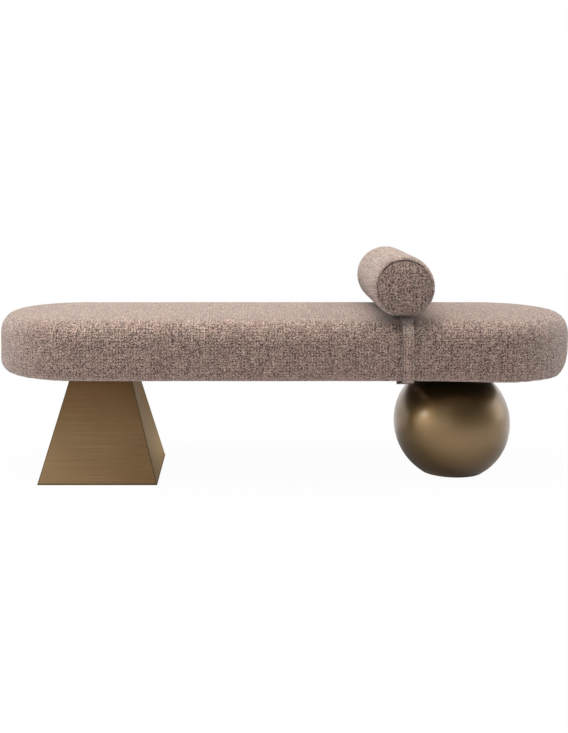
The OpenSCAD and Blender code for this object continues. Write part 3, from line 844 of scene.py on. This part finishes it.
def seat_rim(inset=0.0, drop=0.0):
    """The section outside the flat top, from the crown's edge over the side to the bottom's edge."""
    half = END_R - inset
    tw, th = TOP_ROUND[0] - inset, TOP_ROUND[1] - inset
    bw, bh = BOTTOM_ROUND[0] - inset, BOTTOM_ROUND[1] - drop
    edge = SEAT_HIGH.z - CROWN - inset
    top = arc(half - tw, edge - th, tw, th, 90, 0, steps=12)
    top[:, 1] += CROWN * (1 - (2 * top[:, 0] / SEAT_W) ** 2)
    bottom = arc(half - bw, SEAT_LOW.z + drop + bh, bw, bh, 0, -90, steps=8)
    steps = max(2, round((top[-1, 1] - bottom[0, 1]) / SEAT_CELL))
    side = np.column_stack((np.full(steps - 1, half), np.linspace(top[-1, 1], bottom[0, 1], steps + 1)[1:-1]))
    return np.vstack((top, side, bottom))


def from_middle(points):
    """The nearest points on the seat's middle line, the directions away from it and the distances."""
    middle = np.column_stack((np.clip(points[:, 0], -MID_HALF, MID_HALF), np.zeros(len(points))))
    away = points[:, :2] - middle
    distance = np.hypot(away[:, 0], away[:, 1])
    return middle, away / np.maximum(distance, 1e-6)[:, None], distance


def stadium(r, cell):
    """An all-quad grid over the seat's outline at radius r: its points, the index of each, and its border."""
    half = round(r * 0.9 / cell)
    b = np.linspace(-1, 1, 2 * half + 1)
    places = [(a, -MID_HALF) for a in b[:half]]
    places += [(0, x) for x in np.linspace(-MID_HALF, MID_HALF, 2 * round(MID_HALF / cell) + 1)]
    places += [(a, MID_HALF) for a in b[half + 1:]]
    columns = []
    for a, middle in places:
        px, py = squircle(a, b)
        columns.append(np.column_stack((px * r + middle, py * r)))
    index = np.arange(len(columns) * len(b)).reshape(len(columns), len(b))
    return np.vstack(columns), index, border_of(index)


def lengths_round(points, radius):
    """Distances round the outline at this radius, 0 in the middle of the front, with the closing one last."""
    middle, direction, _ = from_middle(points)
    outline = middle + direction * radius
    run = run_along(np.vstack((outline, outline[:1])))
    front = int(np.argmin(np.abs(outline[:, 0]) + 10 * (outline[:, 1] > 0)))
    return run - run[front]


def seat_surface():
    """The cover's outside: a grid on top, then rings over the side and the hem under the seat."""
    rim = seat_rim()
    points, index, border = stadium(rim[0, 0], SEAT_CELL)
    hem = level(np.linspace(rim[-1, 0], HEM_R, num=7)[1:], SEAT_LOW.z)
    section = np.vstack((rim, hem))
    middle, direction, _ = from_middle(points[border])
    verts = [level(points, seat_height(from_middle(points)[2]))]
    verts += [level(middle + direction * r, z) for r, z in section[1:]]
    top = grid_faces(index)
    rings = ring_faces(border, len(points), len(section) - 1)
    corners = [points[list(face)] for face in top]
    corners += ring_corners(lengths_round(points[border], END_R), -(run_along(section) + rim[0, 0]))
    return np.vstack(verts), top + rings, np.vstack(corners)


def beside_strap(points, softness=12 * MM):
    """0 under the strap, where the cloth is held down, and 1 away from it."""
    return rise(np.abs(points[:, 0] - STRAP_X) - STRAP_W / 2, 1 * MM, softness)


def uneven(mesh):
    """How far the cover lies inside its smooth form: lumps, fuller shoulder, pleats under the round ends."""
    points = coordinates(mesh)
    _, direction, r = from_middle(points)
    end = rise(np.abs(points[:, 0]) - MID_HALF, 0, 60 * MM)
    depth = 0.35 * MM * rumple(points, 0.11, 1) + 0.22 * MM * rumple(points, 0.035, 2)
    shoulder = hump(points[:, 2] - (SEAT_HIGH.z - 35 * MM), 28 * MM) * (r > 0.12)
    depth -= (0.6 + 2.0 * end) * MM * shoulder * beside_strap(points)
    angle = np.arctan2(direction[:, 1], direction[:, 0])
    wave = rumple(np.column_stack((np.cos(angle), np.sin(angle), np.sign(points[:, 0]) * 4)), 0.08, 3)
    pleats = np.clip(np.sin(angle * 34 + wave * 2.2), -0.3, 1) + 0.3
    low = rise(SEAT_LOW.z + BOTTOM_ROUND[1] - points[:, 2], 0, BOTTOM_ROUND[1]) ** 1.5
    under = points[:, 2] < SEAT_LOW.z + 1 * MM
    depth += pleats * low * end * np.where(under, 0.5, 1.1) * MM
    return depth


def sagging(points):
    """The cover's lower edge hangs fuller towards the right end, and is drawn in at the very end."""
    sagged = points.copy()
    low = rise(SEAT_LOW.z + 60 * MM - points[:, 2], 0, 60 * MM)
    rim = rise(from_middle(points)[2] - HEM_R, 10 * MM, 50 * MM)
    right = rise(points[:, 0], *SAG)
    tip = rise(points[:, 0], *TIP) ** 2
    sagged[:, 2] -= SAG_DROP * low * rim * right * (3 - 2 * right) * right * (1 - 3.4 * tip)
    sagged[:, 0] -= TIP_PULL * low ** 1.3 * rim * tip
    return sagged


def close_inside(mesh):
    """Leads the cover round the frame, so that cover and filling are one closed form."""
    skin = 0.3 * MM

    def at(r, z):
        def place(point):
            middle = min(max(point.x, -MID_HALF), MID_HALF)
            away = Vector((point.x - middle, point.y, 0)).normalized()
            return Vector((middle, 0, z)) + away * r
        return place

    with editing(mesh) as bm:
        edges = [edge for edge in bm.edges if edge.is_boundary]
        edges = extruded(bm, edges, at(HEM_R, BOARD_Z - skin))
        edges = extruded(bm, edges, at(FRAME_R + skin, BOARD_Z - skin))
        edges = extruded(bm, edges, at(FRAME_R + skin, DECK_Z + skin))
        bmesh.ops.contextual_create(bm, geom=edges)
        bmesh.ops.recalc_face_normals(bm, faces=bm.faces)


def add_seat(cloth):
    """Cover and filling in one soft piece, held down under the strap."""
    verts, faces, corners = seat_surface()
    mesh = make_mesh("seat_upholstery", verts, faces, cloth, corners)
    hem = np.flatnonzero(verts[:, 2] < SEAT_LOW.z + 0.1 * MM)
    swell = np.clip(settle(mesh, hem, 0.06), -COVER_SWELL, 2 * COVER_SWELL) * 0.5
    push_out(mesh, swell * beside_strap(verts))
    mesh = subdivided(mesh)
    push_out(mesh, -uneven(mesh))
    move(mesh, sagging(coordinates(mesh)))
    close_inside(mesh)
    piece = make_piece(mesh, "bench")
    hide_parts("seat_cover", "seat_wadding", "seat_top_foam", "seat_side_foam")


# The bolster

def disc_grid(side):
    """A quad grid on the unit disc: its points, the index of each, and its border."""
    a, b = np.meshgrid(np.linspace(-1, 1, side + 1), np.linspace(-1, 1, side + 1), indexing="ij")
    index = np.arange((side + 1) ** 2).reshape(side + 1, side + 1)
    return np.column_stack(squircle(a.ravel(), b.ravel())), index, border_of(index)


def sleeve_section():
    """The sleeve's radius and its place along the bolster, from the front seam to the rear one."""
    inner = SEAM_Y - SLEEVE_ROUND
    fuller = np.clip(arc(0, 0, 1, 1, 90, 0, steps=14), 0, 1) ** (2 / SLEEVE_FULLNESS)
    edge = (SEAM_R, inner) + fuller * (BOLSTER_R - SEAM_R, SLEEVE_ROUND)
    tube = [(BOLSTER_R, y) for y in np.linspace(inner, -inner, num=61)[1:-1]]
    return np.vstack((edge, tube, edge[::-1] * (1, -1)))


def bolster_surface():
    """The whole bolster's outside, with the faces of its front panel, sleeve and rear panel in that order."""
    disc, index, border = disc_grid(side=24)
    dome = SEAM_Y + DOME * (1 - (disc ** 2).sum(axis=1))
    flat = disc * SEAM_R
    front = np.column_stack((BOLSTER_X + flat[:, 0], BOLSTER_Y - dome, BOLSTER_Z + flat[:, 1]))
    verts = [front]
    panel = grid_faces(index)
    corners = [front[list(face)][:, (0, 2)] for face in panel]
    section = sleeve_section()
    spokes = disc[border]
    for r, y in section[1:]:
        x, z = BOLSTER_X + spokes[:, 0] * r, BOLSTER_Z + spokes[:, 1] * r
        verts.append(np.column_stack((x, np.full(len(border), BOLSTER_Y - y), z)))
    sleeve = ring_faces(border, len(front), len(section) - 1)
    angle = np.unwrap(np.arctan2(spokes[:, 1], spokes[:, 0]))
    angle = np.append(angle, angle[0] + 2 * math.pi)
    corners += ring_corners(angle * BOLSTER_R, run_along(section))
    rear = front * (1, -1, 1) + (0, 2 * BOLSTER_Y, 0)
    inside = sorted(set(index.ravel()) - set(border))
    last_ring = sum(len(part) for part in verts) - len(border)
    lookup = {old: last_ring + k for k, old in enumerate(border + inside)}
    verts.append(rear[inside])
    turned = [tuple(reversed(face)) for face in panel]
    rear_panel = [tuple(lookup[i] for i in face) for face in turned]
    corners += [rear[list(face)][:, (0, 2)] for face in turned]
    return np.vstack(verts), panel + sleeve + rear_panel, np.vstack(corners), len(panel), len(sleeve)


def puckers(mesh):
    """Small gathers beside the seams, and soft lumps: how far each point lies inside the smooth form."""
    points = coordinates(mesh)
    along = points[:, 1] - BOLSTER_Y
    to_seam = np.abs(SEAM_Y - np.abs(along))
    angle = np.arctan2(points[:, 2] - BOLSTER_Z, points[:, 0] - BOLSTER_X)
    round_it = np.column_stack((np.cos(angle), np.sin(angle), np.sign(along)))
    wave = rumple(round_it, 0.12, 5)
    gathers = (np.sin(angle * 46 + wave * 5) * 0.5 + 0.5) * (rumple(round_it, 0.3, 6) * 0.5 + 0.6)
    r = np.hypot(points[:, 0] - BOLSTER_X, points[:, 2] - BOLSTER_Z)
    beside = hump(np.where(r < SEAM_R, SEAM_R - r, to_seam), 9 * MM)
    return gathers * beside * 0.8 * MM + 0.3 * MM * rumple(points, 0.05, 7)


def pressed_flat(points):
    """Presses the underside flat, on the strap and beside it on the seat, with a soft edge round the flat."""
    soft = 2.5 * MM
    from_end = SEAM_Y - np.abs(points[:, 1] - BOLSTER_Y)
    beside = beside_strap(points, 14 * MM) * rise(from_end, 12 * MM, 30 * MM)
    on_seat = seat_height(np.abs(points[:, 1])) + 1.6 * MM
    low = BOLSTER_LOW - 0.1 * MM + np.clip(on_seat - BOLSTER_LOW, -4 * MM, 0) * beside
    over = points[:, 2] - low
    lifted = points.copy()
    lifted[:, 2] += (np.sqrt(over ** 2 + soft ** 2) - over) / 2 * (1 - rise(over, 0, 30 * MM))
    return lifted


def part_of(mesh, name, keep):
    """A copy of the mesh with only the faces in the range keep."""
    part = mesh.copy()
    part.name = name
    with editing(part) as bm:
        gone = [face for face in bm.faces if not keep[0] <= face.index < keep[1]]
        bmesh.ops.delete(bm, geom=gone, context="FACES")
    return part


def fold_in(mesh, lip, deeper):
    """Turns the cloth in at its seams, over a small lip and down into the groove, and closes the form."""

    def at(share, y):
        def place(point):
            spoke = Vector((point.x - BOLSTER_X, 0, point.z - BOLSTER_Z)).normalized()
            open_here = 0.65 + 0.35 * spoke.dot(Vector((-0.6, 0, 0.8)))
            return Vector((BOLSTER_X, BOLSTER_Y + y, BOLSTER_Z)) + spoke * (SEAM_R + lip * share * open_here)
        return place

    with editing(mesh) as bm:
        left = {edge for edge in bm.edges if edge.is_boundary}
        for side in (-1, 1):
            edges = [edge for edge in left if (edge.verts[0].co.y - BOLSTER_Y) * side > 0]
            if not edges:
                continue
            for vertex in {vertex for edge in edges for vertex in edge.verts}:
                vertex.co = at(1.0, side * SEAM_Y)(vertex.co)
            for share, depth in ((0.55, 0.9 * MM), (0.45, 2.4 * MM), (0.1, 4.6 * MM + deeper)):
                edges = extruded(bm, edges, at(share, side * (SEAM_Y - depth)))
            bmesh.ops.contextual_create(bm, geom=edges)
        bmesh.ops.recalc_face_normals(bm, faces=bm.faces)


def add_bolster(cloth, panel_cloth):
    """The bolster in one swelling form, cut at its seams into the sleeve and two end panels."""
    verts, faces, corners, panel, sleeve = bolster_surface()
    mesh = make_mesh("bolster", verts, faces, cloth, corners)
    r = np.hypot(verts[:, 0] - BOLSTER_X, verts[:, 2] - BOLSTER_Z)
    end = np.abs(np.abs(verts[:, 1] - BOLSTER_Y) - SEAM_Y)
    seam = np.flatnonzero((end < 0.01 * MM) & (np.abs(r - SEAM_R) < 0.1 * MM))
    to_seam = np.hypot(end, r - SEAM_R)
    push_out(mesh, np.clip(settle(mesh, seam, 400.0), 0, SLEEVE_SWELL) * rise(to_seam, 0, 25 * MM))
    mesh = subdivided(mesh)
    push_out(mesh, -puckers(mesh))
    move(mesh, pressed_flat(coordinates(mesh)))
    inner = ["bolster_sleeve", "bolster_wadding", "bolster_core"]
    first = 0
    for name, nodes, count, look, lip, deeper in (
        ("bolster_front_end", ["bolster_front_panel"], panel, panel_cloth, -1.3 * MM, 0),
        ("bolster_sleeve_cloth", inner, sleeve, cloth, 1.6 * MM, 0.2 * MM),
        ("bolster_rear_end", ["bolster_rear_panel"], panel, panel_cloth, -1.3 * MM, 0),
    ):
        stop = first + 4 * count
        part = part_of(mesh, name, (first, stop))
        part.materials[0] = look
        fold_in(part, lip, deeper)
        piece = make_piece(part, "bolster")
        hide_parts(*nodes)
        first = stop


# The strap

def band(name, path, width, thickness, edge, cloth, skew=0.0, fuller=lambda at: 1.0):
    """A flat band along path, the (y, z) points of its inner face; the skew turns it seen from above."""
    path = np.asarray(path)
    tangents = np.gradient(path, axis=0)
    tangents /= np.linalg.norm(tangents, axis=1)[:, None]
    outward = np.column_stack((-tangents[:, 1], tangents[:, 0]))
    run = run_along(path)
    outline = [(-s, t * thickness) for s, t in edge] + [(s, t * thickness) for s, t in edge[::-1] if s > 0]
    outline += [(INNER_HALF, 0.0), (-INNER_HALF, 0.0)]
    across = [share * width / 2 for share, _ in outline]
    verts = []
    for at, normal, length in zip(path, outward, run):
        taper = min(1.0, 0.35 + min(length, run[-1] - length) / (2 * MM)) * fuller(at)
        for x, (_, t) in zip(across, outline):
            spot = at + normal * (t * taper + 0.5 * STRAP_T * max(0, 1 - taper) * (t > 0))
            verts.append((x, spot[0], spot[1]))
    n = len(outline)
    caps = [range(n), range(len(verts) - n, len(verts))]
    faces = ring_faces(range(n), n, len(path) - 1) + caps
    corners = ring_corners([*across, across[0]], run)
    corners += [[(across[i % n], 0.0) for i in cap] for cap in caps]
    verts = np.array(verts)
    x, y = verts[:, 0].copy(), verts[:, 1] - STRAP_START_Y
    verts[:, 0] = STRAP_X + x * math.cos(skew) - y * math.sin(skew)
    verts[:, 1] = STRAP_START_Y + x * math.sin(skew) + y * math.cos(skew)
    mesh = make_mesh(name, verts, faces, cloth, np.vstack(corners)[:, ::-1])
    with editing(mesh) as bm:
        bmesh.ops.recalc_face_normals(bm, faces=bm.faces)
    return mesh


def strap_run():
    """The inner face of the strap, from its front end under the seat, up the front, over and back under."""
    rim = seat_rim(-STRAP_GAP, -STRAP_DROP)
    top_r, bottom_r = rim[0, 0], rim[-1, 0]
    under = SEAT_LOW.z - STRAP_DROP
    start = [(y, under) for y in np.linspace(STRAP_END_Y, -bottom_r, 12)[:-1]]
    front = rim[::-1] * (-1, 1)
    top = [(y, seat_height(abs(y)) + STRAP_GAP) for y in np.linspace(-top_r, top_r, 41)[1:-1]]
    finish = [(y, under) for y in np.linspace(bottom_r, STRAP_START_Y, 32)[1:]]
    return np.vstack((start, front, top, rim, finish))


def tab_run():
    """The inner face of the tab: sewn on the strap's end, then a step down and forward under the tapes."""
    low = STRAP_LOW - 2 * TAPE_T
    sewn = [(y, STRAP_LOW) for y in np.linspace(STRAP_START_Y + TAB_SEWN, STRAP_START_Y, 12)]
    step = []
    for t in (0.2, 0.4, 0.6, 0.8):
        eased = 3 * t * t - 2 * t ** 3
        step.append((STRAP_START_Y - TAB_STEP * t, STRAP_LOW - 2 * TAPE_T * eased))
    reach = [(y, low) for y in np.linspace(STRAP_START_Y - TAB_STEP, TAB_FRONT_Y, 20)]
    return sewn + step + reach


def hanging_free(at):
    """How much thicker the strap is down the seat's front and back than on it and under it."""
    side = rise(abs(at[0]), END_R - TOP_ROUND[0], TOP_ROUND[0])
    low = rise(at[1], SEAT_LOW.z, BOTTOM_ROUND[1])
    return 1 + 0.6 * side * low


def add_strap(cloth, tape):
    """The strap round the seat, its tab, and the two tapes that hold them together."""
    mesh = band("strap_band", strap_run(), STRAP_W, STRAP_T, STITCHED_EDGE, cloth, fuller=hanging_free)
    strap = make_piece(mesh, "bolster")
    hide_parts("strap")
    mesh = band("strap_tab_band", tab_run(), STRAP_W, STRAP_T, STITCHED_EDGE, cloth, skew=TAB_SKEW)
    tab = make_piece(mesh, "bolster")
    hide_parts("strap_tab")
    for name, node, z in (
        ("loop_tape", "strap_loop_tape", STRAP_LOW),
        ("hook_tape", "strap_hook_tape", STRAP_LOW - TAPE_T),
    ):
        run = [(y, z) for y in np.linspace(TAPE_Y[1], TAPE_Y[0], 20)]
        piece = make_piece(band(name, run, TAPE_W, TAPE_T, TAPE_EDGE, tape), "bolster")
        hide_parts(node)


# The cloth under the seat

def add_dust_cover(material):
    """Thin black cloth under the board, stepped down over the hem and tucked at its staples."""
    points, index, border = stadium(HEM_R - 2.5 * MM, cell=16 * MM)
    middle, direction, _ = from_middle(points[border])
    around = lengths_round(points[border], DUST_R)[:-1]
    scallop = 0.7 * MM * (np.cos(around / STAPLE_GAP * 2 * math.pi) - 1)
    low = DUST_LOW.z + 0.45 * MM
    section = (
        (HEM_R - 0.8 * MM, BOARD_Z - 0.8 * MM, 0),
        (HEM_R - 0.6 * MM, low, 0),
        (HEM_R + 1.5 * MM, low, 0),
        (HEM_R + 7 * MM, low, 0),
        (DUST_R - 3 * MM, low, 0.6),
        (DUST_R - 0.3 * MM, low, 1),
    )
    verts = [level(points, BOARD_Z - 0.6 * MM)]
    verts += [level(middle + direction * (r + scallop * share)[:, None], z) for r, z, share in section]
    rings = ring_faces(border, len(points), len(section))
    faces = [tuple(reversed(face)) for face in grid_faces(index) + rings]
    verts = np.vstack(verts)
    flat = verts[:, 2] > BOARD_Z - 0.7 * MM
    verts[flat, 2] += rumple(verts[flat], 0.07, 8) * 0.2 * MM
    piece = make_piece(make_mesh("dust_cover", verts, faces, material), "bench")
    thick = piece.modifiers.new("thickness", "SOLIDIFY")
    thick.thickness = 0.5 * MM
    thick.offset = 0
    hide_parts("dust_cloth")


# The feet

def add_pyramid(material):
    """Four brushed walls with softly rounded edges, open above and below for the plates inside."""
    across = SHELL_T * math.sqrt(1 + PYRAMID_LEAN ** 2)
    section = (
        (PYRAMID_BASE / 2, FOOT_BOTTOM),
        (PYRAMID_TOP / 2, FOOT_TOP),
        (PYRAMID_TOP / 2 - across, FOOT_TOP),
        (PYRAMID_BASE / 2 - across, FOOT_BOTTOM),
    )
    verts = [(PYRAMID_X + x * half, y * half, z) for half, z in section for x, y in CORNERS]
    mesh = make_mesh("pyramid_skin", verts, wall_faces(len(section), len(CORNERS)), material)
    with editing(mesh) as bm:
        outer = set(bm.verts[:2 * len(CORNERS)])
        edges = [edge for edge in bm.edges if outer.issuperset(edge.verts)]
        bmesh.ops.bevel(bm, geom=edges, offset=0.9 * MM, segments=3, profile=0.5, affect="EDGES")
        uvs = bm.loops.layers.uv.new("UVMap")
        for face in bm.faces:
            side = abs(face.normal.x) > abs(face.normal.y)
            for loop in face.loops:
                loop[uvs].uv = (loop.vert.co.y if side else loop.vert.co.x, loop.vert.co.z)
    mesh.shade_smooth()
    piece = make_piece(mesh, "bench")
    piece.modifiers.new("flat faces", "WEIGHTED_NORMAL")
    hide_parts("pyramid_shell")


def ball_section():
    """The ball's wall, cut through: up the outside, over a small lip, down the inside, over another lip."""
    def on(radius, z):
        return math.sqrt(radius ** 2 - (z - BALL_Z) ** 2), z

    start = math.acos((BALL_Z - FOOT_BOTTOM - BALL_LIP) / BALL_R)
    stop = math.pi - math.acos((FOOT_TOP - BALL_LIP - BALL_Z) / BALL_R)
    section = [on(BALL_R, z) for z in BALL_Z - BALL_R * np.cos(np.linspace(start, stop, num=56))]
    bottom_r, top_r = section[0][0], section[-1][0]
    section += [(top_r - BALL_LIP * 0.5, FOOT_TOP - 0.2 * MM), (top_r - BALL_LIP * 1.3, FOOT_TOP)]
    section += [on(BALL_R - SHELL_T, z) for z in np.linspace(FOOT_TOP, FOOT_BOTTOM, num=24)]
    section += [(bottom_r - BALL_LIP * 1.6, FOOT_BOTTOM), (bottom_r - BALL_LIP * 0.6, FOOT_BOTTOM + 0.2 * MM)]
    return section


def add_ball(material):
    """The ball's wall turned round its axis."""
    section = ball_section()
    angles = np.linspace(0, 2 * math.pi, BALL_SEGMENTS, endpoint=False)
    verts = [(BALL_X + r * math.cos(a), r * math.sin(a), z) for r, z in section for a in angles]
    faces = wall_faces(len(section), BALL_SEGMENTS)
    piece = make_piece(make_mesh("ball_skin", verts, faces, material), "bench")
    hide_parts("ball_shell")


add_camera()
add_world()
add_lights()
add_floor()
looks = dress_nodes()
add_seat(looks["woven_cloth"])
add_bolster(looks["sleeve_cloth"], looks["panel_cloth"])
add_strap(looks["strap_cloth"], looks["hook_and_loop"])
add_dust_cover(looks["dust_cloth"])
add_pyramid(looks["brushed_bronze"])
add_ball(looks["satin_bronze"])
bpy.context.scene.view_settings.view_transform = "Standard"
